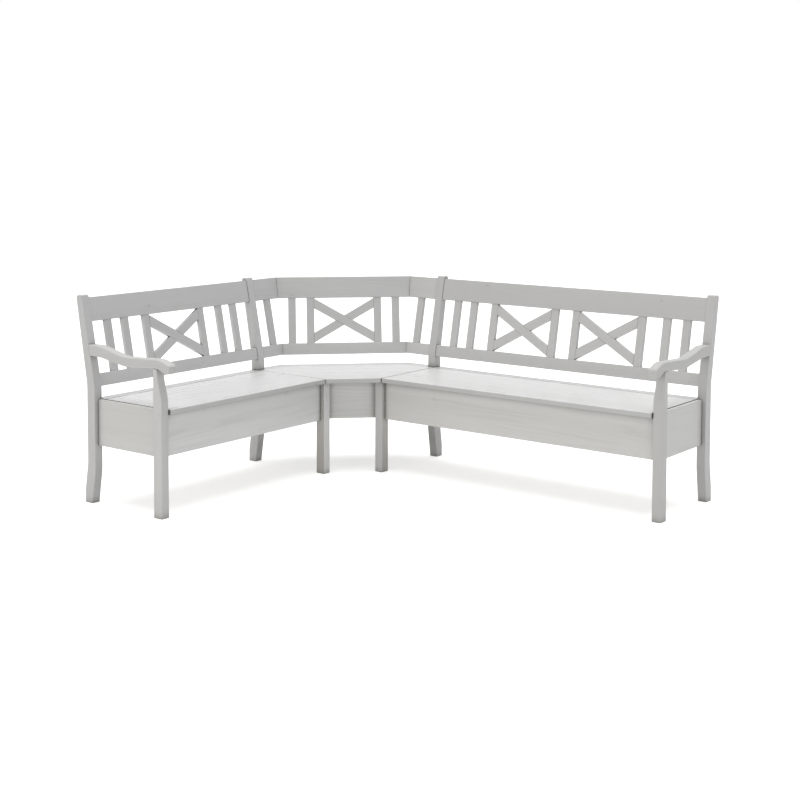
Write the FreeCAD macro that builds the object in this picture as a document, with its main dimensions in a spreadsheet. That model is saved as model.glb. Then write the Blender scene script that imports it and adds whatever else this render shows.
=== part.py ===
import FreeCAD, Part
import math
import os
import re
import Sketcher

# Corner storage bench of painted pine: two wings at a right angle, each with
# a lidded box under its seat, joined by a corner seat with a three-sided back.
# Lengths are millimetres and angles degrees.
#
# Every wing is laid out in its own frame. X runs along the wing from the room
# corner, Y points to the back, and Z points up. The rear plane of the wing's
# posts is Y = 0, so whatever lies further forward has a smaller Y.

doc = FreeCAD.newDocument("CornerStorageBench")

SIZES = {
    # Plan of the bench
    "long_length": 2145,
    "short_length": 1710,
    "wing_depth": 470,
    "middle_offset": 331,
    "junction_post_start": 630,
    "front_post_start": 624,
    # Posts
    "post_width": 42,
    "post_depth": 50,
    "rake": 11.5,
    "rear_rake": 9.8,
    "back_rise": 55,
    "bend_lag": 8,
    "post_horn": 11,
    "top_round": 8,
    "top_rear_round": 13,
    "bend_radius": 200,
    "foot_bend_radius": 250,
    "foot_front_kick": 22,
    "foot_rear_kick": 18,
    "foot_front_rise": 150,
    "foot_rear_rise": 175,
    "ankle_height": 60,
    "swell_rise": 45,
    "waist_rise": 120,
    "waist_depth": 30,
    "neck_depth": 23,
    "neck_bend_radius": 120,
    # Armrests
    "arm_rise": 173,
    "arm_rear_top": 66,
    "arm_rear_base": 17.5,
    "arm_rear_reach": 82,
    "arm_dip_top": 31.5,
    "arm_dip_reach": 238,
    "arm_belly_drop": 11,
    "arm_belly_reach": 262,
    "arm_crest_top": 41.5,
    "arm_crest_setback": 8,
    "arm_nose_top": 18,
    "arm_nose_overhang": 53,
    "arm_lip_overhang": 45,
    "arm_lip_length": 30,
    "arm_lip_drop": 15,
    "arm_flat_front": 18,
    "arm_flat_rear": 70,
    "arm_long_bend": 300,
    "arm_rear_bend": 150,
    "arm_crest_bend": 100,
    "arm_nose_bend": 15,
    "arm_flat_bend": 25,
    "arm_round": 4,
    "arm_bevel": 3,
    # Seat and lids
    "seat_height": 460,
    "seat_thickness": 22,
    "seat_overhang": 12,
    "long_joint_gap": 4,
    "short_joint_gap": 2,
    "seat_post_gap": 0.3,
    "lid_end_gap": 2,
    "lid_rest_height": 3,
    "lid_rest_side": 14,
    "lid_rest_margin": 200,
    "strip_inset": 12,
    "batten_width": 60,
    "batten_thickness": 18,
    "batten_rear_gap": 40,
    "batten_front_gap": 80,
    # Hinges
    "hinge_line": 68,
    "hinge_gap": 3.2,
    "hinge_length": 60,
    "hinge_margin": 160,
    "barrel_radius": 2.5,
    "barrel_clearance": 0.3,
    "pin_radius": 1.2,
    "pin_clearance": 0.05,
    "leaf_thickness": 1.2,
    "leaf_height": 15,
    # Boxes under the seats
    "box_bottom": 256,
    "panel_thickness": 20,
    "front_panel_setback": 24,
    "end_panel_inset": 20,
    "end_panel_drop": 1.5,
    "inner_board_inset": 10,
    "board_thickness": 18,
    "rear_board_inset": 14,
    "bottom_thickness": 12,
    "cleat_width": 20,
    "cleat_height": 12,
    # Corner seat
    "apron_setback": 42,
    "seat_cleat_height": 30,
    "seat_cleat_gap": 10,
    # Backs
    "rail_recess": 4,
    "rail_thickness": 24,
    "lower_rail_rise": 1,
    "lower_rail_width": 57,
    "slat_length": 230,
    "top_rail_width": 107,
    "slat_width": 38,
    "slat_recess": 3,
    "slat_thickness": 18,
    "corner_cross_width": 381,
    "diagonal_end": 49.5,
    "diagonal_rail_gap": 3,
    "slat_pair_gap": 60,
    "slat_cross_gap": 87,
    "cross_middle_gap": 79,
    "long_outer_gap": 68,
    "long_inner_gap": 76,
    "short_outer_gap": 75,
    "short_inner_gap": 94,
    "corner_side_gap": 74,
    "corner_cross_gap": 55.5,
    # Softened edges
    "edge_round": 2.5,
    "edge_bevel": 2,
    "slat_bevel": 1.5,
}

# Places that follow from the sizes
PLACES = {
    "junction_face": "junction_post_start + post_width",
    "front_post_face": "front_post_start + post_width",
    "long_lid_start": "junction_post_start + post_width + long_joint_gap / 2",
    "short_lid_start": "junction_post_start + post_width + short_joint_gap / 2",
    "long_post_start": "long_length - post_width",
    "short_post_start": "short_length - post_width",
    "seat_base": "seat_height - seat_thickness",
    "seat_front": "wing_depth + seat_overhang",
    "strip_front": "hinge_line - hinge_gap / 2",
    "lid_rear": "hinge_line + hinge_gap / 2",
    "front_panel_face": "wing_depth - front_panel_setback",
    "front_panel_rear": "wing_depth - front_panel_setback - panel_thickness",
    "front_post_rear": "wing_depth - post_depth",
    "front_panel_top": "seat_height - seat_thickness - lid_rest_height",
    "rear_board_front": "rear_board_inset + board_thickness",
    "inner_board_start": "junction_post_start + inner_board_inset",
    "bottom_height": "box_bottom + cleat_height",
    "back_start": "seat_height + back_rise",
    "rear_bend": "seat_height + back_rise + bend_lag",
    "slat_foot": "lower_rail_rise + lower_rail_width",
    "top_rail_foot": "lower_rail_rise + lower_rail_width + slat_length",
    "back_length": "lower_rail_rise + lower_rail_width + slat_length + top_rail_width",
    "slope": "tan(rake * 1deg)",
    "rear_slope": "tan(rear_rake * 1deg)",
    "arm_height": "seat_height + arm_rise",
    "diagonal_rise": "slat_length / 2 - diagonal_rail_gap - diagonal_end / 2",
    "mitre_start": "sqrt(2) * middle_offset",
    "mitre_slope": "tan(22.5deg)",
    "apron_face": "(front_post_start + wing_depth - apron_setback) / sqrt(2)",
}
LATER_PLACES = {
    "post_top": "back_start + back_length * cos(rake * 1deg) + post_horn",
    "slat_room": "4 * slat_width + 2 * slat_pair_gap + 2 * slat_cross_gap",
}
CROSS_PLACES = {
    "long_cross_width": "(long_post_start - junction_face - slat_room - cross_middle_gap"
                        " - long_outer_gap - long_inner_gap) / 2",
    "short_cross_width": "short_post_start - junction_face - slat_room"
                         " - short_outer_gap - short_inner_gap",
}
LEAN_PLACES = {
    "lean": "rear_slope * (post_top - top_rear_round - rear_bend)"
            " - top_rear_round * (1 / cos(rear_rake * 1deg) - 1)",
}
CENTRE_PLACES = {
    "centre_x": "(long_length - lean) / 2",
    "centre_y": "(lean - short_length) / 2",
}

# Each wing's turn about the room corner, the direction in which it runs along
# its own X, how far its rear plane is from the corner, and its repeats.
WINGS = {
    "long": {"turn": 0, "side": 1, "offset": "0", "hinges": 3},
    "short": {"turn": 90, "side": -1, "offset": "0", "hinges": 2},
    "middle": {"turn": 45, "side": 1, "offset": "middle_offset"},
}
SIDE_WINGS = ("short", "long")
PLANES = {"top": "XY_Plane", "front": "XZ_Plane", "end": "YZ_Plane"}
FACET_REACH = 150
KNUCKLES = 3

owners = {}
nodes = []


def full(text):
    """Put the sheet's name before each alias in an expression."""
    return re.sub(r"[a-z]\w*", lambda word: owners.get(word.group(), word.group()), str(text))


def value(text):
    return float(sizes.evalExpression(full(text)))


def fill_sheet(sheet, table):
    """Write one row per entry: its name, and its number or formula with an alias."""
    row = sum(1 for owner in owners.values() if owner.startswith(sheet.Name))
    for name, content in table.items():
        row += 1
        cell = "B%d" % row
        text = "=" + full(content) if isinstance(content, str) else str(content)
        sheet.set("A%d" % row, name)
        sheet.set(cell, text)
        sheet.setAlias(cell, name)
    for name in table:
        owners[name] = "%s.%s" % (sheet.Name, name)
    doc.recompute()


sizes = doc.addObject("Spreadsheet::Sheet", "sizes")
places = doc.addObject("Spreadsheet::Sheet", "places")
fill_sheet(sizes, SIZES)
for table in (PLACES, LATER_PLACES, CROSS_PLACES, LEAN_PLACES, CENTRE_PLACES):
    fill_sheet(places, table)


def place(item, wing, along="0", back="0", up="0", tilt="0"):
    """Set a piece in its wing's frame, then turn the wing about the room corner."""
    frame = WINGS[wing]
    room = "placement(vector(-centre_x; -centre_y; 0); rotation(vector(0; 0; 1); %d))"
    spot = "placement(vector(%s; %s; %s); rotation(vector(1; 0; 0); -(%s)))"
    shifted = "(%s) - (%s)" % (back, frame["offset"])
    text = room % frame["turn"] + " * " + spot % (along, shifted, up, tilt)
    item.setExpression("Placement", full(text))


def new_body(name):
    body = doc.addObject("PartDesign::Body", name)
    body.Label = name
    return body


def new_sketch(body, plane, height="0"):
    sketch = body.newObject("Sketcher::SketchObject", body.Name + "_sketch")
    wanted = PLANES[plane]
    origin = [item for item in body.Origin.OriginFeatures if item.Role == wanted]
    sketch.AttachmentSupport = [(origin[0], "")]
    sketch.MapMode = "FlatFace"
    sketch.setExpression("AttachmentOffset.Base.z", full(height))
    return sketch


def add_loop(sketch, points):
    """Draw a closed outline whose corners are each held by two dimensions."""
    first = sketch.GeometryCount
    corners = [FreeCAD.Vector(value(x), value(y), 0) for x, y in points]
    count = len(corners)
    for index, corner in enumerate(corners):
        line = Part.LineSegment(corner, corners[(index + 1) % count])
        sketch.addGeometry(line, False)
    for index in range(count):
        end = first + index
        start = first + (index + 1) % count
        sketch.addConstraint(Sketcher.Constraint("Coincident", end, 2, start, 1))
    for index, corner in enumerate(corners):
        for kind, size, text in zip(("DistanceX", "DistanceY"), corner, points[index]):
            line = first + index
            held = Sketcher.Constraint(kind, -1, 1, line, 1, size)
            number = sketch.addConstraint(held)
            sketch.setExpression("Constraints[%d]" % number, full(text))


def add_pad(body, sketch, length, backwards=False):
    pad = body.newObject("PartDesign::Pad", body.Name + "_pad")
    pad.Profile = sketch
    pad.Reversed = backwards
    pad.setExpression("Length", full(length))
    return pad


def prism(name, plane, points, length):
    """Extrude an outline up from the top plane, back from the front one or along X."""
    body = new_body(name)
    sketch = new_sketch(body, plane)
    add_loop(sketch, points)
    add_pad(body, sketch, length, plane == "front")
    return body


def rectangle(low_x, high_x, low_y, high_y):
    return [(low_x, low_y), (high_x, low_y), (high_x, high_y), (low_x, high_y)]


def along_wing(wing, start, end):
    """Give the X range of a stretch along a wing, lower end first."""
    if WINGS[wing]["side"] > 0:
        return start, end
    return "-(%s)" % end, "-(%s)" % start


def soften(body, kind, size_name, size, wanted):
    """Add a fillet or a chamfer to the edges of the shape so far that a test picks out."""
    doc.recompute()
    base = body.Tip
    names = []
    for number, edge in enumerate(base.Shape.Edges, 1):
        if wanted(edge):
            names.append("Edge%d" % number)
    if not names:
        raise ValueError("No edge to soften on " + body.Label)
    softened = body.newObject("PartDesign::" + kind, body.Name + "_" + kind.lower())
    softened.Base = (base, names)
    softened.setExpression(size_name, full(size))


def fillet(body, radius, wanted):
    soften(body, "Fillet", "Radius", radius, wanted)


def chamfer(body, size, wanted):
    soften(body, "Chamfer", "Size", size, wanted)


def runs_along(axis):
    """Pick straight edges that are parallel to one axis of the piece."""
    def test(edge):
        direction = edge.Vertexes[-1].Point - edge.Vertexes[0].Point
        return direction.Length > 0 and abs(direction.normalize().dot(axis)) > 0.9999
    return test


def passes(points):
    """Pick edges along X that pass through one of the given corners of an end view."""
    corners = [(value(y), value(z)) for y, z in points]
    along = runs_along(FreeCAD.Vector(1, 0, 0))

    def test(edge):
        if not along(edge):
            return False
        spot = edge.CenterOfMass
        return any(math.hypot(spot.y - y, spot.z - z) < 0.01 for y, z in corners)
    return test


def on_sides(low, high):
    """Pick the edges that outline the two sides of a piece between two heights."""
    across = runs_along(FreeCAD.Vector(1, 0, 0))

    def test(edge):
        box = edge.BoundBox
        inside = box.ZMax > low + 0.01 and box.ZMin < high - 0.01
        return inside and box.XLength < 0.01 and not across(edge)
    return test


AXIS_X = FreeCAD.Vector(1, 0, 0)
AXIS_Y = FreeCAD.Vector(0, 1, 0)
AXIS_Z = FreeCAD.Vector(0, 0, 1)


def board_along(name, wing, start, end, front, rear, low, high):
    """Make a board that runs along a wing.

    Front and rear are measured forward from the wing's rear plane.
    """
    first, last = along_wing(wing, start, end)
    outline = rectangle(first, last, low, high)
    body = prism(name, "front", outline, "(%s) - (%s)" % (front, rear))
    place(body, wing, "0", "-(%s)" % front)
    return body


def board_across(name, wing, start, thickness, front, rear, low, high):
    """Make a board that runs from front to rear."""
    first, last = along_wing(wing, start, "(%s) + (%s)" % (start, thickness))
    outline = rectangle("-(%s)" % front, "-(%s)" % rear, low, high)
    body = prism(name, "end", outline, thickness)
    place(body, wing, first)
    return body


def plan_board(name, wing, points, low, thickness):
    """Make a board from its outline as seen from above."""
    body = prism(name, "top", points, thickness)
    place(body, wing, "0", "0", low)
    return body


def keep(item, name):
    item.Label = name
    nodes.append((name, item))


def keep_group(name, items):
    group = doc.addObject("Part::Compound", name)
    group.Links = items
    keep(group, name)


# Posts
def rear_post(name, wing, start):
    """A post with a sabre foot, an upright middle and a leaning, tapered top."""
    front_lean = "slope * (post_top - back_start) - post_depth"
    rear_lean = "rear_slope * (post_top - rear_bend)"
    ankle = ("foot_rear_kick", "ankle_height")
    calf = ("0", "foot_rear_rise")
    shin = ("-post_depth", "foot_front_rise")
    rear_waist = ("0", "rear_bend")
    front_waist = ("-post_depth", "back_start")
    rear_tip = (rear_lean, "post_top")
    front_tip = (front_lean, "post_top")
    toe = ("foot_front_kick - post_depth", "0")
    heel = ("foot_rear_kick", "0")
    outline = [toe, heel, ankle, calf, rear_waist, rear_tip, front_tip, front_waist, shin]
    body = prism(name, "end", outline, "post_width")
    fillet(body, "foot_bend_radius", passes([calf, shin]))
    fillet(body, "foot_bend_radius / 2", passes([ankle]))
    fillet(body, "bend_radius", passes([rear_waist, front_waist]))
    fillet(body, "top_rear_round", passes([rear_tip]))
    fillet(body, "top_round", passes([front_tip]))
    chamfer(body, "edge_bevel", on_sides(0, value("post_top") + 1))
    place(body, wing, along_wing(wing, start, "(%s) + post_width" % start)[0])
    keep(body, name)


def outer_front_post(name, wing, start):
    """A post whose front face draws in above the seat to carry the armrest."""
    swell = ("-wing_depth", "seat_height + swell_rise")
    waist = ("-(front_post_rear + waist_depth)", "seat_height + waist_rise")
    neck = ("-(front_post_rear + neck_depth)", "arm_height")
    outline = [
        ("-wing_depth", "0"),
        ("-front_post_rear", "0"),
        ("-front_post_rear", "arm_height"),
        neck,
        waist,
        swell,
    ]
    body = prism(name, "end", outline, "post_width")
    fillet(body, "neck_bend_radius", passes([swell, waist]))
    chamfer(body, "edge_bevel", on_sides(0, value("arm_height")))
    place(body, wing, along_wing(wing, start, "(%s) + post_width" % start)[0])
    keep(body, name)


def inner_front_post(name, wing):
    """A plain square-edged post that carries the front corner of the corner seat."""
    first, last = along_wing(wing, "front_post_start", "front_post_face")
    outline = rectangle(first, last, "-wing_depth", "-front_post_rear")
    body = plan_board(name, wing, outline, "0", "seat_base")
    chamfer(body, "edge_bevel", runs_along(AXIS_Z))
    keep(body, name)


def armrest(name, wing, start):
    """A shaped armrest from the leaning post's front to its nose past the front post."""
    rear_top = "arm_height + arm_rear_top"
    rear_base = "arm_height + arm_rear_base"
    rear_run = ("-arm_rear_reach", rear_top)
    dip = ("-arm_dip_reach", "arm_height + arm_dip_top")
    crest = ("arm_crest_setback - wing_depth", "arm_height + arm_crest_top")
    nose = ("-(wing_depth + arm_nose_overhang)", "arm_height + arm_nose_top")
    lip_front = ("-(wing_depth + arm_lip_overhang)", "arm_height - arm_lip_drop")
    lip_rear = ("arm_lip_length - arm_lip_overhang - wing_depth", "arm_height - arm_lip_drop")
    flat_front = ("arm_flat_front - wing_depth", "arm_height")
    flat_rear = ("arm_flat_rear - wing_depth", "arm_height")
    belly = ("-arm_belly_reach", "arm_height - arm_belly_drop")
    rear_base_run = ("-arm_rear_reach", rear_base)
    outline = [
        ("slope * (%s - back_start) - post_depth" % rear_top, rear_top),
        rear_run,
        dip,
        crest,
        nose,
        lip_front,
        lip_rear,
        flat_front,
        flat_rear,
        belly,
        rear_base_run,
        ("slope * (%s - back_start) - post_depth" % rear_base, rear_base),
    ]
    body = prism(name, "end", outline, "post_width")
    fillet(body, "arm_long_bend", passes([dip, belly]))
    fillet(body, "arm_rear_bend", passes([rear_run, rear_base_run]))
    fillet(body, "arm_crest_bend", passes([crest, flat_rear]))
    fillet(body, "arm_nose_bend", passes([nose]))
    fillet(body, "arm_flat_bend", passes([flat_front]))
    fillet(body, "arm_round", passes([lip_front, lip_rear]))
    chamfer(body, "arm_bevel", arm_outline(value("slope"), value("post_depth")))
    place(body, wing, along_wing(wing, start, "(%s) + post_width" % start)[0])
    keep(body, name)


def arm_outline(slope, post_depth):
    """Pick an armrest's side edges, without those that lie on the rear post."""
    start = value("back_start")

    def test(edge):
        if edge.BoundBox.XLength > 0.01:
            return False
        spot = edge.CenterOfMass
        return abs(spot.y - (slope * (spot.z - start) - post_depth)) > 0.01
    return test


for wing in SIDE_WINGS:
    outer = "%s_post_start" % wing
    rear_post(wing + "_outer_rear_post", wing, outer)
    rear_post(wing + "_junction_rear_post", wing, "junction_post_start")
    outer_front_post(wing + "_outer_front_post", wing, outer)
    inner_front_post(wing + "_inner_front_post", wing)
    armrest(wing + "_armrest", wing, outer)


# Boxes under the wings
def wing_spots(wing, margin):
    """Spread a wing's repeated fittings evenly between two equal end margins."""
    count = WINGS[wing]["hinges"]
    start = wing + "_lid_start"
    run = "(%s_post_start - lid_end_gap - %s - 2 * %s)" % (wing, start, margin)
    return ["%s + %s + %d * %s / %d" % (start, margin, index, run, count - 1)
            for index in range(count)]


def bottom_outline(wing, outer):
    """Outline a box bottom that is notched round the four posts at its corners."""
    side = WINGS[wing]["side"]
    far = "%s + post_width - end_panel_inset - panel_thickness" % outer
    inner = "inner_board_start + board_thickness"
    corners = [
        (inner, "post_depth"),
        ("junction_face", "post_depth"),
        ("junction_face", "rear_board_front"),
        (outer, "rear_board_front"),
        (outer, "post_depth"),
        (far, "post_depth"),
        (far, "front_post_rear"),
        (outer, "front_post_rear"),
        (outer, "front_panel_rear"),
        ("front_post_face", "front_panel_rear"),
        ("front_post_face", "front_post_rear"),
        (inner, "front_post_rear"),
    ]
    return [("%d * (%s)" % (side, along), "-(%s)" % out) for along, out in corners]


def cut_hinge_seats(body, wing, edge, depth_sign):
    """Cut a shallow seat for each hinge barrel into the top of a seat board's edge."""
    side = WINGS[wing]["side"]
    reach = "hinge_line + %d * (barrel_radius + barrel_clearance)" % depth_sign
    sketch = new_sketch(body, "top", "seat_thickness")
    for spot in wing_spots(wing, "hinge_margin"):
        half = "(hinge_length / 2 + barrel_clearance)"
        low = "%d * (%s) - %s" % (side, spot, half)
        high = "%d * (%s) + %s" % (side, spot, half)
        add_loop(sketch, rectangle(low, high, "-(%s)" % edge, "-(%s)" % reach))
    before = body.Shape.Volume
    pocket = body.newObject("PartDesign::Pocket", body.Name + "_hinge_seats")
    pocket.Profile = sketch
    pocket.setExpression("Length", full("2 * barrel_radius + barrel_clearance"))
    doc.recompute()
    if body.Shape.Volume > before - 1:
        raise ValueError("The hinge seats cut nothing from " + body.Label)


def top_edges(height):
    def test(edge):
        return edge.BoundBox.ZMin > height - 0.01
    return test


def seat_board(name, wing, rear, front, hinge_edge, depth_sign):
    """Make a lid or a fixed strip: a seat board with soft top edges and hinge seats."""
    first, last = along_wing(wing, wing + "_lid_start",
                             "%s_post_start - lid_end_gap" % wing)
    outline = rectangle(first, last, "-(%s)" % front, "-(%s)" % rear)
    body = plan_board(name, wing, outline, "seat_base", "seat_thickness")
    fillet(body, "edge_round", top_edges(value("seat_thickness")))
    doc.recompute()
    cut_hinge_seats(body, wing, hinge_edge, depth_sign)
    keep(body, name)


def hinge_box(name, wing, spot, start, length, rear, thickness, low, high):
    """Make one flat part of a hinge leaf, placed from the hinge's own middle and axis."""
    box = doc.addObject("Part::Box", name)
    box.setExpression("Length", full(length))
    box.setExpression("Width", full(thickness))
    box.setExpression("Height", full("(%s) - (%s)" % (high, low)))
    place_on_axis(box, wing, spot, start, rear, low)
    return box


def place_on_axis(item, wing, spot, start, back="0", up="0", turned=False):
    """Set a hinge part from the hinge's middle along the wing and from its axis."""
    frame = WINGS[wing]
    turn = "rotation(vector(0; 1; 0); %d)" % (90 if turned else 0)
    room = "placement(vector(-centre_x; -centre_y; 0); rotation(vector(0; 0; 1); %d))"
    along = "%d * (%s) + (%s)" % (frame["side"], spot, start)
    level = "seat_height - barrel_radius + (%s)" % up
    text = "placement(vector(%s; (%s) - hinge_line; %s); %s)" % (along, back, level, turn)
    item.setExpression("Placement", full(room % frame["turn"] + " * " + text))


def hinge_barrel(name, wing, spot, start, length, radius):
    barrel = doc.addObject("Part::Cylinder", name)
    barrel.setExpression("Radius", full(radius))
    barrel.setExpression("Height", full(length))
    place_on_axis(barrel, wing, spot, start, turned=True)
    return barrel


def hinge_leaf(name, wing, spot, knuckles, sign):
    """Make a leaf of a butt hinge: a plate with a rolled knuckle at every other third.

    The sign is 1 for the leaf behind the axis and -1 for the one before it.
    """
    third = "hinge_length / %d" % KNUCKLES
    rear = "hinge_gap / 2 - leaf_thickness" if sign > 0 else "-hinge_gap / 2"
    clear = "barrel_radius + barrel_clearance"
    foot = "-(%s) - leaf_height" % clear
    parts = [hinge_box(name + "_plate", wing, spot, "-hinge_length / 2", "hinge_length",
                       rear, "leaf_thickness", foot, "-(%s)" % clear)]
    for number in knuckles:
        start = "%d * %s - hinge_length / 2 + barrel_clearance / 2" % (number, third)
        length = "%s - barrel_clearance" % third
        label = "%s_knuckle_%d" % (name, number)
        low = "-(%s)" % clear
        high = "-(pin_radius + barrel_clearance)"
        parts.append(hinge_box(label + "_neck", wing, spot, start, length,
                               rear, "leaf_thickness", low, high))
        parts.append(hinge_barrel(label, wing, spot, start, length, "barrel_radius"))
    leaf = doc.addObject("Part::MultiFuse", name + "_blank")
    leaf.Shapes = parts
    bore = hinge_barrel(name + "_bore", wing, spot, "-hinge_length", "2 * hinge_length",
                        "pin_radius + pin_clearance")
    cut = doc.addObject("Part::Cut", name)
    cut.Base = leaf
    cut.Tool = bore
    return cut


def lid_hinges(wing):
    """Make a wing's hinges: frame leaves with their pins, and lid leaves."""
    frame_pieces = []
    lid_pieces = []
    for number, spot in enumerate(wing_spots(wing, "hinge_margin"), 1):
        label = "%s_hinge_%d" % (wing, number)
        outer = range(0, KNUCKLES, 2)
        inner = range(1, KNUCKLES, 2)
        frame_pieces.append(hinge_leaf(label + "_frame_leaf", wing, spot, outer, 1))
        frame_pieces.append(hinge_barrel(label + "_pin", wing, spot, "-hinge_length / 2",
                                         "hinge_length", "pin_radius"))
        lid_pieces.append(hinge_leaf(label + "_lid_leaf", wing, spot, inner, -1))
    keep_group(wing + "_hinge_frame_leaves", frame_pieces)
    keep_group(wing + "_hinge_lid_leaves", lid_pieces)


def wing_box(wing):
    outer = "%s_post_start" % wing
    panel = board_along(wing + "_front_panel", wing, "front_post_face", outer,
                        "front_panel_face", "front_panel_rear",
                        "box_bottom", "front_panel_top")
    fillet(panel, "edge_round", runs_along(AXIS_X))
    keep(panel, wing + "_front_panel")
    end_start = "%s + post_width - end_panel_inset - panel_thickness" % outer
    end = board_across(wing + "_end_panel", wing, end_start, "panel_thickness",
                       "front_post_rear", "post_depth", "box_bottom",
                       "seat_height - end_panel_drop")
    fillet(end, "edge_round", runs_along(AXIS_Y))
    keep(end, wing + "_end_panel")
    inner = board_across(wing + "_inner_panel", wing, "inner_board_start",
                         "board_thickness", "front_post_rear", "post_depth",
                         "box_bottom", "seat_base")
    keep(inner, wing + "_inner_panel")
    rear = board_along(wing + "_rear_panel", wing, "junction_face", outer,
                       "rear_board_front", "rear_board_inset", "box_bottom", "seat_base")
    keep(rear, wing + "_rear_panel")
    bottom = plan_board(wing + "_bottom_panel", wing, bottom_outline(wing, outer),
                        "bottom_height", "bottom_thickness")
    keep(bottom, wing + "_bottom_panel")
    seat_board(wing + "_hinge_strip", wing, "strip_inset", "strip_front", "strip_front", -1)
    seat_board(wing + "_lid", wing, "lid_rear", "seat_front", "lid_rear", 1)
    battens = []
    for number, spot in enumerate(wing_spots(wing, "hinge_margin"), 1):
        start = "%s - batten_width / 2" % spot
        end = "%s + batten_width / 2" % spot
        first, last = along_wing(wing, "(%s)" % start, "(%s)" % end)
        outline = rectangle(first, last, "batten_front_gap - wing_depth",
                            "-(hinge_line + batten_rear_gap)")
        batten = plan_board("%s_lid_batten_%d" % (wing, number), wing, outline,
                            "seat_base - batten_thickness", "batten_thickness")
        chamfer(batten, "edge_bevel", lambda edge: edge.BoundBox.ZMax < 0.01)
        battens.append(batten)
    keep_group(wing + "_lid_battens", battens)
    lid_hinges(wing)


def bottom_cleats(wing):
    """Make the two strips that carry a box bottom along its front and rear panels."""
    outer = "%s_post_start" % wing
    spans = {
        "front": ("front_panel_rear", "front_panel_rear - cleat_width"),
        "rear": ("rear_board_front + cleat_width", "rear_board_front"),
    }
    cleats = []
    for label, (front, rear) in spans.items():
        name = "%s_%s_bottom_cleat" % (wing, label)
        cleats.append(board_along(name, wing, "junction_face", outer, front, rear,
                                  "box_bottom", "bottom_height"))
    return cleats


def lid_rests(wing):
    """Make the square pads on which a closed lid lies along the front panel."""
    pads = []
    for number, spot in enumerate(wing_spots(wing, "lid_rest_margin"), 1):
        start = "(%s - lid_rest_side / 2)" % spot
        first, last = along_wing(wing, start, "(%s + lid_rest_side)" % start)
        middle = "(panel_thickness / 2 - front_panel_face)"
        outline = rectangle(first, last, middle + " - lid_rest_side / 2",
                            middle + " + lid_rest_side / 2")
        pads.append(plan_board("%s_lid_rest_%d" % (wing, number), wing, outline,
                               "front_panel_top", "lid_rest_height"))
    return pads


cleats = []
rests = []
for wing in SIDE_WINGS:
    wing_box(wing)
    cleats += bottom_cleats(wing)
    rests += lid_rests(wing)
keep_group("box_bottom_cleats", cleats)
keep_group("lid_rest_pads", rests)


# Backs
def rail(name, wing, start, end, foot, width):
    """Make a rail of a back, lying in the leaning plane behind the post fronts."""
    first, last = along_wing(wing, start, end)
    outline = rectangle(first, last, foot, "(%s) + (%s)" % (foot, width))
    body = prism(name, "front", outline, "rail_thickness")
    fillet(body, "edge_round", runs_along(AXIS_X))
    lean_in(body, wing, "rail_recess")
    return body


def lean_in(body, wing, depth):
    """Set a piece in the leaning plane, sunk below the post fronts by a depth."""
    back = "%s * cos(rake * 1deg) - post_depth" % depth
    up = "back_start - %s * sin(rake * 1deg)" % depth
    place(body, wing, "0", back, up, "rake")


def slat(name, wing, start):
    """Make an upright slat that stands between the two rails."""
    first, last = along_wing(wing, "(%s)" % start, "(%s + slat_width)" % start)
    outline = rectangle(first, last, "slat_foot", "top_rail_foot")
    body = prism(name, "front", outline, "slat_thickness")
    chamfer(body, "slat_bevel", runs_along(AXIS_Z))
    lean_in(body, wing, "(rail_recess + slat_recess)")
    return body


def diagonal_band(middle, half, direction):
    """Outline a diagonal that ends square against the stiles on both sides."""
    level = "(slat_foot + slat_length / 2)"
    edge = "diagonal_end / 2"
    return [
        ("%s - %s" % (middle, half), "%s - %d * diagonal_rise - %s" % (level, direction, edge)),
        ("%s + %s" % (middle, half), "%s + %d * diagonal_rise - %s" % (level, direction, edge)),
        ("%s + %s" % (middle, half), "%s + %d * diagonal_rise + %s" % (level, direction, edge)),
        ("%s - %s" % (middle, half), "%s - %d * diagonal_rise + %s" % (level, direction, edge)),
    ]


def diagonal(name, wing, middle, half, direction):
    """Make one diagonal of a cross, halved where the other one crosses it.

    The falling diagonal keeps its front half there and the rising one its rear half.
    """
    body = prism(name, "front", diagonal_band(middle, half, direction), "slat_thickness")
    chamfer(body, "slat_bevel", slanted)
    doc.recompute()
    rising = direction > 0
    start = "0" if rising else "-slat_thickness / 2"
    sketch = new_sketch(body, "front", start)
    add_loop(sketch, diagonal_band(middle, half, -direction))
    before = body.Shape.Volume
    lap = body.newObject("PartDesign::Pocket", name + "_lap")
    lap.Profile = sketch
    lap.setExpression("Length", full("slat_thickness / 2"))
    doc.recompute()
    if body.Shape.Volume > before - 1:
        raise ValueError("The lap cuts nothing from " + name)
    lean_in(body, wing, "(rail_recess + slat_recess)")
    return body


def slanted(edge):
    """Pick a diagonal's long edges, which run along neither X, Y nor Z."""
    direction = edge.Vertexes[-1].Point - edge.Vertexes[0].Point
    direction.normalize()
    return abs(direction.x) > 0.3 and abs(direction.z) > 0.3


def add_cross(groups, label, wing, start, width):
    """Add the two stiles and two diagonals of a cross to a wing's groups."""
    side = WINGS[wing]["side"]
    far = "%s + %s - slat_width" % (start, width)
    groups["stiles"].append(slat(label + "_stile_1", wing, start))
    groups["stiles"].append(slat(label + "_stile_2", wing, far))
    middle = "(%d * (%s + %s / 2))" % (side, start, width)
    half = "(%s / 2 - slat_width)" % width
    groups["rising"].append(diagonal(label + "_rising", wing, middle, half, 1))
    groups["falling"].append(diagonal(label + "_falling", wing, middle, half, -1))


def keep_crosses(name, groups):
    keep_group(name + "_cross_stiles", groups["stiles"])
    keep_group(name + "_cross_rising_diagonals", groups["rising"])
    keep_group(name + "_cross_falling_diagonals", groups["falling"])


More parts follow.
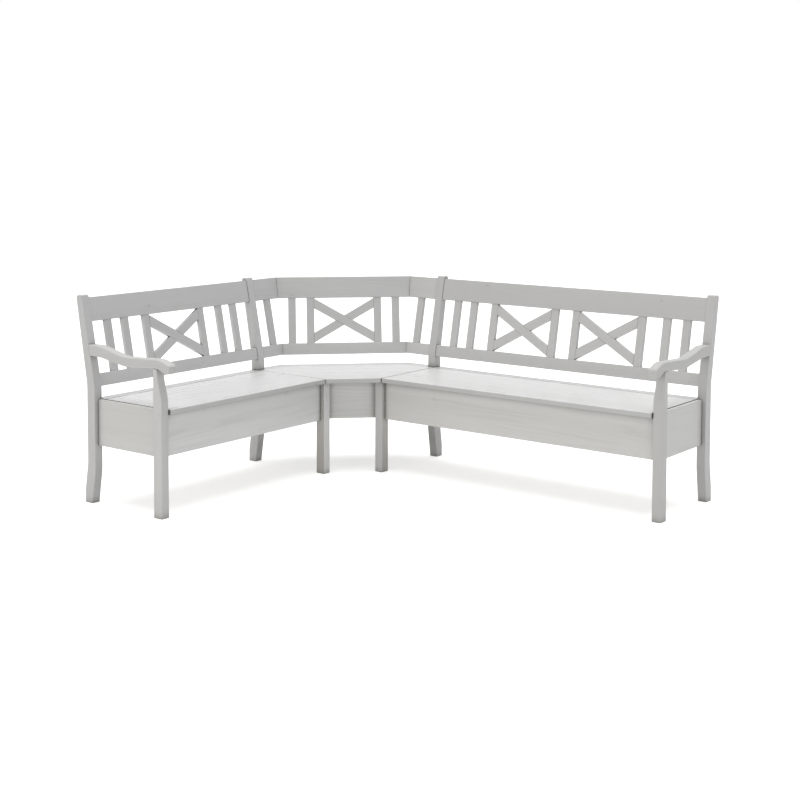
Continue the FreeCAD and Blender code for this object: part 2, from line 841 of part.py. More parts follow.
def wing_back(wing):
    """Make a wing's back: two rails, a pair of slats at each end and crosses between."""
    outer = "%s_post_start" % wing
    crosses = 2 if wing == "long" else 1
    for label, foot, width in (("top", "top_rail_foot", "top_rail_width"),
                               ("lower", "lower_rail_rise", "lower_rail_width")):
        name = "%s_%s_rail" % (wing, label)
        keep(rail(name, wing, "junction_face", outer, foot, width), name)
    slats = []
    spot = "%s - %s_outer_gap" % (outer, wing)
    for number in (1, 2):
        spot += " - slat_width"
        slats.append(slat("%s_slat_%d" % (wing, number), wing, spot))
        spot += " - slat_pair_gap" if number == 1 else " - slat_cross_gap"
    groups = {"stiles": [], "rising": [], "falling": []}
    width = wing + "_cross_width"
    for number in range(1, crosses + 1):
        spot += " - " + width
        add_cross(groups, "%s_cross_%d" % (wing, number), wing, spot, width)
        spot += " - cross_middle_gap" if number < crosses else " - slat_cross_gap"
    for number in (3, 4):
        spot += " - slat_width"
        slats.append(slat("%s_slat_%d" % (wing, number), wing, spot))
        spot += " - slat_pair_gap"
    keep_group(wing + "_slats", slats)
    keep_crosses(wing, groups)


for wing in SIDE_WINGS:
    wing_back(wing)


# Corner
def facet_outline(wing, front, rear):
    """Outline one facet of the corner in plan, between two distances from its rear plane.

    Neighbouring facets meet on a mitre that halves the 45 degrees between them.
    """
    if wing == "middle":
        near = "(middle_offset - mitre_slope * (%s))" % front
        far = "(middle_offset - mitre_slope * (%s))" % rear
        return [("-" + near, "-(%s)" % front), (near, "-(%s)" % front),
                (far, "-(%s)" % rear), ("-" + far, "-(%s)" % rear)]
    side = WINGS[wing]["side"]
    near = "%d * (mitre_start + mitre_slope * (%s))" % (side, front)
    far = "%d * (mitre_start + mitre_slope * (%s))" % (side, rear)
    post = "%d * junction_post_start" % side
    return [(near, "-(%s)" % front), (post, "-(%s)" % front),
            (post, "-(%s)" % rear), (far, "-(%s)" % rear)]


def facet_rail(name, wing, foot, width):
    """Make a corner rail and mitre its ends on the upright planes between facets."""
    start, end = ("mitre_start - %d" % FACET_REACH, "junction_post_start")
    if wing == "middle":
        start, end = ("-middle_offset - %d" % FACET_REACH, "middle_offset + %d" % FACET_REACH)
    blank = rail(name + "_blank", wing, "(%s)" % start, "(%s)" % end, foot, width)
    wedge = prism(name + "_wedge", "top",
                  facet_outline(wing, str(FACET_REACH), str(-FACET_REACH)), "post_top")
    place(wedge, wing)
    mitred = doc.addObject("Part::Common", name)
    mitred.Base = blank
    mitred.Tool = wedge
    keep(mitred, name)


def corner_rails():
    for wing in ("short", "middle", "long"):
        for label, foot, width in (("top", "top_rail_foot", "top_rail_width"),
                                   ("lower", "lower_rail_rise", "lower_rail_width")):
            facet_rail("corner_%s_rail_%s" % (label, wing), wing, foot, width)


def corner_slats():
    """Make the slats of the corner: one on each side facet, two on the middle one."""
    spots = {
        "short": ["junction_post_start - corner_side_gap - slat_width"],
        "middle": ["-corner_cross_width / 2 - corner_cross_gap - slat_width",
                   "corner_cross_width / 2 + corner_cross_gap"],
        "long": ["junction_post_start - corner_side_gap - slat_width"],
    }
    slats = []
    for wing, starts in spots.items():
        for number, start in enumerate(starts, 1):
            slats.append(slat("corner_%s_slat_%d" % (wing, number), wing, start))
    keep_group("corner_slats", slats)


def corner_seat():
    """Make the corner seat, cut away round the two rear posts."""
    beside_post = "junction_post_start - seat_post_gap"
    before_post = "post_depth + seat_post_gap"
    limits = {}
    halves = {}
    for wing in SIDE_WINGS:
        end = "junction_face - %s_joint_gap / 2" % wing
        limits[wing] = value(end)
        halves[wing] = [
            (end, "seat_front"),
            (end, before_post),
            (beside_post, before_post),
            (beside_post, "strip_inset"),
            ("mitre_start + mitre_slope * strip_inset", "strip_inset"),
        ]
    outline = [(along, "-(%s)" % out) for along, out in halves["long"]]
    outline += [(out, "-(%s)" % along) for along, out in reversed(halves["short"])]
    body = plan_board("corner_seat", "long", outline, "seat_base", "seat_thickness")
    height = value("seat_thickness")
    front = value("seat_front")

    def seat_rim(edge):
        spot = edge.CenterOfMass
        diagonal_edge = spot.x > front / 2 and -spot.y > front / 2 and spot.z > height - 0.01
        long_joint = abs(spot.x - limits["long"]) < 0.01
        short_joint = abs(-spot.y - limits["short"]) < 0.01
        softened = diagonal_edge or long_joint or short_joint
        return edge.BoundBox.ZMin > height - 0.01 and softened

    fillet(body, "edge_round", seat_rim)
    keep(body, "corner_seat")


def corner_apron():
    """Make the corner's front panel, cut to the side faces of the inner front posts."""
    rear_face = "(apron_face - panel_thickness)"
    near = "(sqrt(2) * front_post_start - apron_face)"
    far = "(sqrt(2) * front_post_start - %s)" % rear_face
    outline = [("-" + near, "-apron_face"), (near, "-apron_face"),
               (far, "-" + rear_face), ("-" + far, "-" + rear_face)]
    shifted = [(along, "%s + middle_offset" % back) for along, back in outline]
    body = plan_board("corner_front_panel", "middle", shifted, "box_bottom",
                      "seat_base - box_bottom")
    fillet(body, "edge_round", runs_along(AXIS_X))
    keep(body, "corner_front_panel")


def corner_rear_panels():
    boards = []
    for wing in ("short", "middle", "long"):
        outline = facet_outline(wing, "rear_board_front", "rear_board_inset")
        boards.append(plan_board("corner_rear_panel_" + wing, wing, outline,
                                 "box_bottom", "seat_base - box_bottom"))
    keep_group("corner_rear_panels", boards)


def corner_seat_cleats():
    """Make the cleats under the corner seat: front, rear and one on each inner panel."""
    low = "seat_base - seat_cleat_height"
    apron_rear = "(apron_face - panel_thickness - middle_offset)"
    reach = "(sqrt(2) * front_post_start - apron_face - cleat_width)"
    rear_reach = "(middle_offset - mitre_slope * (rear_board_front + cleat_width) - cleat_width)"
    made = [
        plan_board("corner_front_cleat", "middle",
                   rectangle("-" + reach, reach, "-" + apron_rear,
                             "cleat_width - " + apron_rear), low, "seat_cleat_height"),
        plan_board("corner_rear_cleat", "middle",
                   rectangle("-" + rear_reach, rear_reach, "-rear_board_front - cleat_width",
                             "-rear_board_front"), low, "seat_cleat_height"),
    ]
    front_end = ("sqrt(2) * (apron_face - panel_thickness)"
                 " - front_post_start - seat_cleat_gap")
    for wing in SIDE_WINGS:
        first, last = along_wing(wing, "(inner_board_start - cleat_width)",
                                 "inner_board_start")
        made.append(plan_board(wing + "_corner_cleat", wing,
                               rectangle(first, last, "-(%s)" % front_end,
                                         "-(post_depth + seat_cleat_gap)"),
                               low, "seat_cleat_height"))
    keep_group("corner_seat_cleats", made)


corner_rails()
corner_slats()
corner_groups = {"stiles": [], "rising": [], "falling": []}
add_cross(corner_groups, "corner_cross", "middle", "-corner_cross_width / 2",
          "corner_cross_width")
keep_crosses("corner", corner_groups)
corner_seat()
corner_apron()
corner_rear_panels()
corner_seat_cleats()


# Check everything, then write one file for each node
doc.recompute()
for item in doc.Objects:
    if "Invalid" in item.State or "Error" in item.State:
        raise ValueError("%s failed: %s" % (item.Label, item.State))
for name, item in nodes:
    shape = item.Shape
    if shape.isNull() or not shape.isValid() or not shape.Solids:
        raise ValueError("%s has no sound solid" % name)
os.makedirs("parts", exist_ok=True)
for name, item in nodes:
    item.Shape.exportStep("parts/%s.step" % name)
print("%d nodes, %d solids" % (len(nodes), sum(len(item.Shape.Solids) for _, item in nodes)))
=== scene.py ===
# %% [markdown]
# # A corner storage bench in white-glazed pine
# The bench stands in two wings that meet at a corner seat. Its boards come in at their
# real size and place, so this lesson is about what a maker does last: the glaze on the
# wood, the fittings, the light and the view. We start by loading the boards.

# %% Load the boards
import math
import bpy
from mathutils import Matrix, Vector


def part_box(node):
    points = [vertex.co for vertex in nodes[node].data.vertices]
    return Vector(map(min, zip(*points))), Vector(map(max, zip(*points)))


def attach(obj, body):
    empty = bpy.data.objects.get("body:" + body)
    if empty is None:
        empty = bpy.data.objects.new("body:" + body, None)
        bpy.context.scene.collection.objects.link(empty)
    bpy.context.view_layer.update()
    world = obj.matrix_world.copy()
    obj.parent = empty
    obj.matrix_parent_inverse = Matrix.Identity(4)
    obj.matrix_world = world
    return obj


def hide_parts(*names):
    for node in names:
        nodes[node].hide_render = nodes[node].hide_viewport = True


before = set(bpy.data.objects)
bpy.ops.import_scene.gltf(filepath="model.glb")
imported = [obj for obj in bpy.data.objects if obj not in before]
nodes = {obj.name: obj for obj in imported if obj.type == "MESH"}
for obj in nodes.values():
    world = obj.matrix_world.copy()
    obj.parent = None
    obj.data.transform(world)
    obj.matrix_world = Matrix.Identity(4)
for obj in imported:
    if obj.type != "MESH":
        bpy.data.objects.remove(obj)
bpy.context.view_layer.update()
print("boards and fittings:", len(nodes))

# %% [markdown]
# ## The view
# The picture was taken from in front of the open corner, a little above eye level for
# someone sitting. A long lens keeps the two wings in proportion. The lens is also
# shifted down a little, as an architect's camera is, so that the posts stay upright
# although the camera looks down at the seats.

# %% Camera
FRAME_PIXELS = 800
SENSOR = 36.0
FOCAL_PIXELS = 1394.3
SHIFT_PIXELS = -159.5
VIEW_AZIMUTH = 37.482
VIEW_PITCH = 3.812
VIEW_ROLL = 0.17
FAR_CLIP = 100
CAMERA_FROM_CORNER = Vector((4.7621, -5.6728, 1.5604))
PANEL_INSET = 0.014


def room_corner():
    """Find where the rear planes of the two wings cross, just behind the rear panels."""
    low_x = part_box("short_rear_panel")[0][0] - PANEL_INSET
    high_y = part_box("long_rear_panel")[1][1] + PANEL_INSET
    return Vector((low_x, high_y, 0.0))


CORNER = room_corner()

camera_data = bpy.data.cameras.new("photo_camera")
camera_data.sensor_width = SENSOR
camera_data.lens = FOCAL_PIXELS / FRAME_PIXELS * SENSOR
camera_data.shift_y = SHIFT_PIXELS / FRAME_PIXELS
camera_data.clip_end = FAR_CLIP
camera = bpy.data.objects.new("photo_camera", camera_data)
bpy.context.collection.objects.link(camera)
camera.location = CORNER + CAMERA_FROM_CORNER
turn = Matrix.Rotation(math.radians(VIEW_AZIMUTH), 3, "Z")
tilt = Matrix.Rotation(math.radians(90 - VIEW_PITCH), 3, "X")
roll = Matrix.Rotation(math.radians(VIEW_ROLL), 3, "Z")
camera.rotation_euler = (turn @ tilt @ roll).to_euler()
bpy.context.scene.camera = camera
print("camera at", [round(x, 2) for x in camera.location], "lens", round(camera_data.lens, 1))

# %% [markdown]
# ## White-glazed pine
# Pine takes a thin white glaze: the wood is nearly white, but the darker rings of the
# grain and a few small knots still show through as faint grey lines. A flat white would
# look like plastic. We could paint that pattern on every board by hand, but wood is a
# solid material, so a pattern that fills space and is cut by the board's faces looks
# right from every side. Each board turns the pattern so that the grain runs along it.

# %% Helpers for materials
def new_material(name):
    material = bpy.data.materials.new(name)
    material.use_nodes = True
    tree = material.node_tree
    tree.nodes.clear()
    return material, tree


def add_node(tree, kind, settings=None, **inputs):
    """Add a node, set its properties, and set or link its inputs by name."""
    made = tree.nodes.new(kind)
    for name, setting in (settings or {}).items():
        setattr(made, name, setting)
    for name, content in inputs.items():
        wanted = name.replace("_", " ")
        sockets = [s for s in made.inputs if s.name == wanted and s.enabled]
        if isinstance(content, bpy.types.NodeSocket):
            tree.links.new(content, sockets[0])
        else:
            sockets[0].default_value = content
    return made


def math_node(tree, operation, first, second=0.0, clamp=False):
    made = tree.nodes.new("ShaderNodeMath")
    made.operation = operation
    made.use_clamp = clamp
    for socket, content in zip(made.inputs, (first, second)):
        if isinstance(content, bpy.types.NodeSocket):
            tree.links.new(content, socket)
        else:
            socket.default_value = content
    return made.outputs[0]


def ramp(tree, factor, low, high, start=0.0, end=1.0):
    """Map a value from one range to another, smoothly and without overshoot."""
    made = add_node(tree, "ShaderNodeMapRange", {"interpolation_type": "SMOOTHSTEP"},
                    Value=factor, From_Min=low, From_Max=high, To_Min=start, To_Max=end)
    return made.outputs["Result"]


def blend_colours(tree, factor, first, second):
    made = tree.nodes.new("ShaderNodeMix")
    made.data_type = "RGBA"
    tree.links.new(factor, made.inputs[0])
    for socket, content in zip((made.inputs[6], made.inputs[7]), (first, second)):
        if isinstance(content, bpy.types.NodeSocket):
            tree.links.new(content, socket)
        else:
            socket.default_value = (*content, 1.0)
    return made.outputs[2]


# %% [markdown]
# The pattern has five parts. The year rings are lines that run along the board. A slow
# noise bends them, a quicker one crowds and parts them, and a third lets them fade out,
# since even lines would look machined. A much finer noise gives the fibres, and a slow
# streaky one the cloudy tone of a hand-rubbed glaze. Small round spots give the knots,
# and the rings bend round them. Last, wide boards are glued up from staves, so the
# pattern jumps and the tone changes a little every 95 mm across the board.

# %% The grain pattern
STEP_IN_LOG = (1.37, 0.211, 0.173)
STAVE_WIDTH = 0.095
STAVE_JUMP = 9.0
KNOT_CELL = (0.135, 0.105)
KNOT_SCATTER = 0.9
KNOT_SHARE = 0.15
HALO_RADII = (0.26, 0.0)
CORE_RADII = (0.075, 0.02)
KNOT_PUSH = 4.0
RING_TURNS = 260.0
LINE_LIMITS = (-0.1, 1.0)
FADE_LIMITS = (0.38, 0.68)
# Each noise: how quickly it changes along and across the grain, its detail and its roughness.
SLOW_WAVES = (0.45, 5.0, 2.0, 0.5)
QUICK_WAVES = (1.1, 24.0, 2.0, 0.5)
FADING = (1.4, 17.0, 2.0, 0.5)
FIBRES = (5.0, 420.0, 3.0, 0.6)
STREAKS = (1.6, 26.0, 3.0, 0.55)
RING_WAVES = ((SLOW_WAVES, 70.0), (QUICK_WAVES, 14.0))


def grain_turn(direction):
    """Give the rotation that brings a board's grain onto the pattern's X axis."""
    return Vector(direction).normalized().rotation_difference(Vector((1, 0, 0))).to_euler()


def stretched_noise(tree, place, noise):
    """Give a noise that is drawn out along the grain."""
    along, across, deep = place
    quick_along, quick_across, detail, roughness = noise
    spot = add_node(tree, "ShaderNodeCombineXYZ",
                    X=math_node(tree, "MULTIPLY", along, quick_along),
                    Y=math_node(tree, "MULTIPLY", across, quick_across),
                    Z=math_node(tree, "MULTIPLY", deep, quick_across))
    made = add_node(tree, "ShaderNodeTexNoise", Vector=spot.outputs[0],
                    Scale=1.0, Detail=detail, Roughness=roughness)
    return made.outputs["Fac"]


def grain_pattern(tree, direction, seed):
    """Make the parts of the pattern: rings, fibres, streaks, stave tone and knots."""
    coordinates = add_node(tree, "ShaderNodeTexCoord")
    turned = add_node(tree, "ShaderNodeMapping", Vector=coordinates.outputs["Object"])
    turned.inputs["Rotation"].default_value = grain_turn(direction)
    turned.inputs["Location"].default_value = [seed * step for step in STEP_IN_LOG]
    axes = add_node(tree, "ShaderNodeSeparateXYZ", Vector=turned.outputs["Vector"])
    along, across, deep = axes.outputs
    width = math_node(tree, "ADD", across, deep)
    stave = math_node(tree, "FLOOR", math_node(tree, "DIVIDE", width, STAVE_WIDTH))
    chance = add_node(tree, "ShaderNodeTexWhiteNoise", {"noise_dimensions": "1D"}, W=stave)
    jump = math_node(tree, "MULTIPLY", chance.outputs["Value"], STAVE_JUMP)
    along = math_node(tree, "ADD", along, jump)
    place = (along, across, deep)

    flat = add_node(tree, "ShaderNodeCombineXYZ",
                    X=math_node(tree, "DIVIDE", along, KNOT_CELL[0]),
                    Y=math_node(tree, "DIVIDE", width, KNOT_CELL[1]))
    cells = add_node(tree, "ShaderNodeTexVoronoi", {"voronoi_dimensions": "2D"},
                     Vector=flat.outputs[0], Scale=1.0, Randomness=KNOT_SCATTER)
    cell = add_node(tree, "ShaderNodeSeparateColor", Color=cells.outputs["Color"])
    present = math_node(tree, "LESS_THAN", cell.outputs[0], KNOT_SHARE)
    strength = math_node(tree, "MULTIPLY", present, cell.outputs[1])
    halo = ramp(tree, cells.outputs["Distance"], *HALO_RADII)
    core = ramp(tree, cells.outputs["Distance"], *CORE_RADII)

    rings = math_node(tree, "MULTIPLY", width, RING_TURNS)
    for noise, turns in RING_WAVES:
        waves = stretched_noise(tree, place, noise)
        rings = math_node(tree, "ADD", rings, math_node(tree, "MULTIPLY", waves, turns))
    push = math_node(tree, "MULTIPLY", math_node(tree, "MULTIPLY", halo, present), KNOT_PUSH)
    rings = math_node(tree, "ADD", rings, push)
    fade = stretched_noise(tree, place, FADING)
    lines = math_node(tree, "MULTIPLY",
                      ramp(tree, math_node(tree, "SINE", rings), *LINE_LIMITS),
                      ramp(tree, fade, *FADE_LIMITS))
    return {
        "rings": lines,
        "fibres": stretched_noise(tree, place, FIBRES),
        "streaks": stretched_noise(tree, place, STREAKS),
        "tone": chance.outputs["Value"],
        "halo": math_node(tree, "MULTIPLY", halo, strength),
        "core": math_node(tree, "MULTIPLY", core, strength),
    }


# %% [markdown]
# Three marks follow the real shapes of the boards. Where boards meet, dust stays in the
# joint and painted shade darkens the corners round it, so joints read as thin dark lines.
# In a recess, such as the one under a lid's edge, painted shade makes the glaze look dull.
# On the edges, the glaze is rubbed through and the wood looks warmer; on the seats the
# edges are painted grey as shade. Cycles can measure how closed in a point is, with rays
# cast outwards for joints and recesses and inwards for edges, so all three follow the
# real shapes and need no painting by hand.

# %% The pine material
GRAIN = (0.60, 0.595, 0.58)
KNOT = (0.40, 0.385, 0.36)
# Dust in joints mixed with painted shade, painted shade in recesses, rubbed wood, and painted
# shade on seat edges.
DUST_AND_SHADE = (0.12, 0.115, 0.105)
RECESS_SHADE = (0.36, 0.35, 0.335)
RUBBED = (0.66, 0.62, 0.56)
GREY_SHADE = (0.30, 0.295, 0.285)
RECESS_REACH = 0.040
EDGE_REACH = 0.004
# How much of each part of the pattern darkens the glaze, and how much of it stays hidden.
PATTERN_SHARES = (("fibres", 0.26), ("streaks", 0.34), ("tone", 0.12))
HIDDEN_SHARE = 0.22
HALO_SHARE = 0.25
CORE_SHARE = 0.5
# How much painted shade goes into recesses, and how much dust and painted shade into joints.
RECESS_SHADE_SHARE = 0.7
DUST_AND_SHADE_SHARE = 0.88
# Where each ramp starts and where it is full.
FACING_LIMITS = (0.3, 0.95)
EDGE_WEAR_AND_SHADE_LIMITS = (0.1, 0.42)
RECESS_SHADE_LIMITS = (0.06, 0.55)
STREAK_LIMITS = (0.25, 0.75)
RING_DEPTH = 2.5
FIBRE_HEIGHT = 0.6
RELIEF_HEIGHT = 0.0006
# How much smoother and rougher than a board's own roughness its streaks are.
SMOOTHER = -0.05
ROUGHER = 0.07


def closed_in(tree, reach, inside):
    """Measure how far a point is closed in by surfaces nearby: 0 is open, 1 is shut."""
    rays = add_node(tree, "ShaderNodeAmbientOcclusion", {"inside": inside, "samples": 6},
                    Distance=reach)
    return math_node(tree, "SUBTRACT", 1.0, rays.outputs["AO"])


def pine(name, direction, seed, finish):
    """Make one board's pine: painted light on the faces that look a given way, painted shade
    elsewhere.
    """
    material, tree = new_material(name)
    part = grain_pattern(tree, direction, seed)
    shade = math_node(tree, "MULTIPLY", part["rings"], finish["rings"])
    for layer, share in PATTERN_SHARES:
        shade = math_node(tree, "ADD", shade, math_node(tree, "MULTIPLY", part[layer], share))
    # Painted light and shade: one glaze on the faces that look the chosen way, another on the
    # rest.
    facing = add_node(tree, "ShaderNodeVectorMath", {"operation": "DOT_PRODUCT"})
    normal = add_node(tree, "ShaderNodeNewGeometry").outputs["True Normal"]
    tree.links.new(normal, facing.inputs[0])
    facing.inputs[1].default_value = finish["thick_side"]
    thick = ramp(tree, facing.outputs["Value"], *FACING_LIMITS)
    colour = blend_colours(tree, thick, finish["thin"], finish["thick"])
    shown = math_node(tree, "SUBTRACT", shade, HIDDEN_SHARE, clamp=True)
    colour = blend_colours(tree, shown, colour, GRAIN)
    halo = math_node(tree, "MULTIPLY", part["halo"], HALO_SHARE)
    colour = blend_colours(tree, halo, colour, GRAIN)
    core = math_node(tree, "MULTIPLY", part["core"], CORE_SHARE)
    colour = blend_colours(tree, core, colour, KNOT)
    # Edges: warmer rubbed wood on most boards, painted shade on the seats.
    edge_colour, edge_share = finish["edges"]
    edge_wear_and_shade = ramp(tree, closed_in(tree, EDGE_REACH, True), *EDGE_WEAR_AND_SHADE_LIMITS, 0.0, edge_share)
    colour = blend_colours(tree, edge_wear_and_shade, colour, edge_colour)
    # Painted shade in recesses, such as under a lid's edge.
    recess_shade = ramp(tree, closed_in(tree, RECESS_REACH, False), *RECESS_SHADE_LIMITS, 0.0, RECESS_SHADE_SHARE)
    colour = blend_colours(tree, recess_shade, colour, RECESS_SHADE)
    # Dust in the joints, with painted shade in the corners round them.
    reach, first_dust_and_shade, full_dust_and_shade = finish["joints"]
    dust_and_shade = ramp(tree, closed_in(tree, reach, False), first_dust_and_shade, full_dust_and_shade, 0.0, DUST_AND_SHADE_SHARE)
    colour = blend_colours(tree, dust_and_shade, colour, DUST_AND_SHADE)

    sunk_rings = math_node(tree, "MULTIPLY", part["rings"], -RING_DEPTH * finish["rings"])
    raised_fibres = math_node(tree, "MULTIPLY", part["fibres"], FIBRE_HEIGHT)
    height = math_node(tree, "ADD", sunk_rings, raised_fibres)
    bump = add_node(tree, "ShaderNodeBump", Strength=finish["relief"], Distance=RELIEF_HEIGHT,
                    Height=height)
    roughness = ramp(tree, part["streaks"], *STREAK_LIMITS,
                     finish["roughness"] + SMOOTHER, finish["roughness"] + ROUGHER)
    shader = add_node(tree, "ShaderNodeBsdfPrincipled", Base_Color=colour, Roughness=roughness,
                      Normal=bump.outputs[0])
    add_node(tree, "ShaderNodeOutputMaterial", Surface=shader.outputs[0])
    return material


# %% [markdown]
# Each board gets its own copy of the pine, started at another place in the log, so no
# two boards match. The grain follows the board: along the wings in rails, front panels
# and seats, upright in posts and slats, front to back in the armrests and end panels,
# and along the slope in the crossed diagonals. The glaze differs a little too: warmest
# on the box panels, whitest on the short wing's front panel, coolest and glossiest on
# the seats, and thin on the boards that nobody sees. Many boards also carry painted
# light and shade: a paler glaze on one side, such as the top of a seat, the upper edge
# of a diagonal or one edge of a slat, and a darker one on their other sides. The two
# inner posts are painted pale only on the side that looks the way their wing's front
# panel does, with painted shade on their other sides. Edges that people touch are
# rubbed; on the seats they are painted grey instead, as shade along their joints.

# %% Directions of the boards
ALONG_X = Vector((1, 0, 0))
ALONG_Y = Vector((0, 1, 0))
UPRIGHT = Vector((0, 0, 1))
ACROSS_CORNER = Vector((1, 1, 0)).normalized()
DIAGONAL_SLOPE = 0.572


def board_direction(name):
    """Give the direction in which a board's grain runs."""
    if name.startswith("corner") and not name.endswith(("_long", "_short")):
        wing = ACROSS_CORNER
    elif name.startswith("long") or name.endswith("_long"):
        wing = ALONG_X
    else:
        wing = ALONG_Y
    if any(word in name for word in ("post", "slats", "stiles")):
        return UPRIGHT
    if any(word in name for word in ("armrest", "end_panel", "inner_panel", "batten")):
        return Vector((wing.y, wing.x, 0))
    if "rising" in name:
        return (wing + UPRIGHT * DIAGONAL_SLOPE).normalized()
    if "falling" in name:
        return (wing - UPRIGHT * DIAGONAL_SLOPE).normalized()
    return wing


# %% Choose the finish of each board
UP = (0, 0, 1)
TO_THE_FRONT = (0, -1, 0)
TO_THE_SIDE = (1, 0, 0)
PANEL_GLAZE = (0.85, 0.843, 0.822)
WHITE_GLAZE = (0.93, 0.928, 0.922)
# Painted shade on the inner posts' sides that face away from the light.
SHADED_GLAZE = (0.66, 0.637, 0.60)
SEAT_GLAZE = (0.785, 0.786, 0.788)
# Painted shade on the seats' upright faces.
SEAT_SHADED_GLAZE = (0.66, 0.658, 0.655)
POST_GLAZE = (0.720, 0.715, 0.704)
RAIL_GLAZE = (0.708, 0.706, 0.708)
SLAT_GLAZE = (0.680, 0.678, 0.680)
THIN_GLAZE = (0.70, 0.675, 0.63)
# How light a board is against its glaze, first on its lit side and then on the others;
# a lower number on the others is painted shade.
LONG_WING_TONE = 0.925
CORNER_PANEL_TONES = (1.05, 1.05)
END_PANEL_TONES = (0.93, 0.93)
SHORT_INNER_POST_TONE = 1.07
LONG_INNER_POST_TONE = 1.02
ARMREST_TONES = (0.98, 0.90)
SHORT_FRONT_POST_TONES = (1.06, 0.97)
LONG_FRONT_POST_TONES = (0.93, 0.95)
SLAT_TONES = (1.2, 1.0)
# How far dust and painted shade reach from a joint, how closed in a point is where they
# start, and where they are full.
FINE_JOINTS = (0.010, 0.2, 0.6)
SEAT_JOINTS = (0.010, 0.02, 0.18)
PANEL_JOINTS = (0.018, 0.16, 0.5)
# The colour of an edge, rubbed wood or painted shade on the seats, and how much of it shows.
BOARD_EDGES = (RUBBED, 0.3)
SLAT_EDGES = (RUBBED, 0.1)
SEAT_EDGE_SHADE = (GREY_SHADE, 0.5)
# Roughness: lower is glossier.
MATT = 0.52
SATIN = 0.42
SEAT_GLOSS = 0.30
CLEAR_RINGS = 0.20
FAINT_RINGS = 0.045
BOARD_RELIEF = 0.1
SEAT_RELIEF = 0.02
UNSEEN_BOARDS = ("bottom", "batten", "cleat", "inner_panel", "rear_panel")


def toned(glaze, tone):
    return tuple(round(part * tone, 3) for part in glaze)


def two_tones(glaze, tones):
    """Give a glaze as it is on a board's lit side and, in painted shade, on its other sides."""
    return [toned(glaze, tone) for tone in tones]


def finish_for(name):
    """Choose a board's glazes, roughness, rings and edges by where it is in the bench."""
    finish = {"thick_side": UP, "roughness": SATIN, "rings": CLEAR_RINGS,
              "relief": BOARD_RELIEF, "edges": BOARD_EDGES, "joints": FINE_JOINTS}
    wing_tone = LONG_WING_TONE if name.startswith("long") else 1.0
    if any(word in name for word in UNSEEN_BOARDS):
        glazes = THIN_GLAZE, THIN_GLAZE
        finish["roughness"] = MATT
    # Seats: painted shade on their upright faces and on their edges.
    elif name.endswith(("_lid", "_strip")) or name == "corner_seat":
        glazes = SEAT_GLAZE, SEAT_SHADED_GLAZE
        finish.update(roughness=SEAT_GLOSS, rings=FAINT_RINGS, relief=SEAT_RELIEF,
                      edges=SEAT_EDGE_SHADE, joints=SEAT_JOINTS)
    elif name == "corner_front_panel":
        glazes = two_tones(PANEL_GLAZE, CORNER_PANEL_TONES)
    elif name.endswith("front_panel"):
        glaze = WHITE_GLAZE if name.startswith("short") else PANEL_GLAZE
        glazes = glaze, glaze
        finish["joints"] = PANEL_JOINTS
    elif name.endswith("end_panel"):
        glazes = two_tones(PANEL_GLAZE, END_PANEL_TONES)
    # Inner posts: painted light on one side, painted shade on the others.
    elif name == "short_inner_front_post":
        glazes = toned(PANEL_GLAZE, SHORT_INNER_POST_TONE), SHADED_GLAZE
        finish["thick_side"] = TO_THE_SIDE
    elif name == "long_inner_front_post":
        glazes = toned(POST_GLAZE, LONG_INNER_POST_TONE), SHADED_GLAZE
        finish["thick_side"] = TO_THE_FRONT
    # Armrests and outer front posts: one glaze on the front, another on the sides, as painted
    # light and shade.
    elif "armrest" in name:
        glazes = two_tones(POST_GLAZE, [wing_tone * tone for tone in ARMREST_TONES])
        finish["thick_side"] = TO_THE_FRONT
    elif name == "short_outer_front_post":
        glazes = two_tones(POST_GLAZE, SHORT_FRONT_POST_TONES)
        finish["thick_side"] = TO_THE_FRONT
    elif name == "long_outer_front_post":
        glazes = two_tones(POST_GLAZE, LONG_FRONT_POST_TONES)
        finish["thick_side"] = TO_THE_FRONT
    elif "rail" in name or "rear_post" in name:
        glazes = two_tones(RAIL_GLAZE, (wing_tone, wing_tone))
    else:
        # Slats and diagonals: painted light on one side.
        glazes = two_tones(SLAT_GLAZE, SLAT_TONES)
        finish["edges"] = SLAT_EDGES
        finish["thick_side"] = TO_THE_FRONT if name.startswith("short") else UP
    finish["thick"], finish["thin"] = glazes
    return finish


# %% Glaze every board
def dress(node, material):
    """Give a piece one material on all of its faces."""
    if not node.data.materials:
        node.data.materials.append(material)
    for slot in node.material_slots:
        slot.material = material


wood_nodes = [name for name in sorted(nodes) if "leaves" not in name and name != "lid_rest_pads"]
for seed, name in enumerate(wood_nodes, 1):
    dress(nodes[name], pine("pine_" + name, board_direction(name), seed, finish_for(name)))
print("glazed boards:", len(wood_nodes))

# %% [markdown]
# ## Eased ends on the back rails
# The corner's rails are mitred, and they and the wings' rails stop against the junction
# posts. On the real bench each of these joints shows as a fine dark line, since the
# maker takes the sharp edge off a board's end before it is glued. A line painted across
# the joint would stay flat when the light moves. So each rail is copied, its loose
# triangles are merged back into whole faces, and the rim of its end face is bevelled,
# as sandpaper does it. The length of the rail stays the same.

# %% Helpers to pick faces and to copy a board
MERGE_DISTANCE = 0.00001
FLAT_WITHIN = math.radians(0.5)


def deselect_everything():
    if bpy.context.object and bpy.context.object.mode != "OBJECT":
        bpy.ops.object.mode_set(mode="OBJECT")
    bpy.ops.object.select_all(action="DESELECT")


def start_edit(piece):
    """Go into edit mode on one piece, with nothing selected in it."""
    deselect_everything()
    piece.select_set(True)
    bpy.context.view_layer.objects.active = piece
    bpy.ops.object.mode_set(mode="EDIT")
    bpy.ops.mesh.select_mode(type="FACE")
    bpy.ops.mesh.select_all(action="DESELECT")


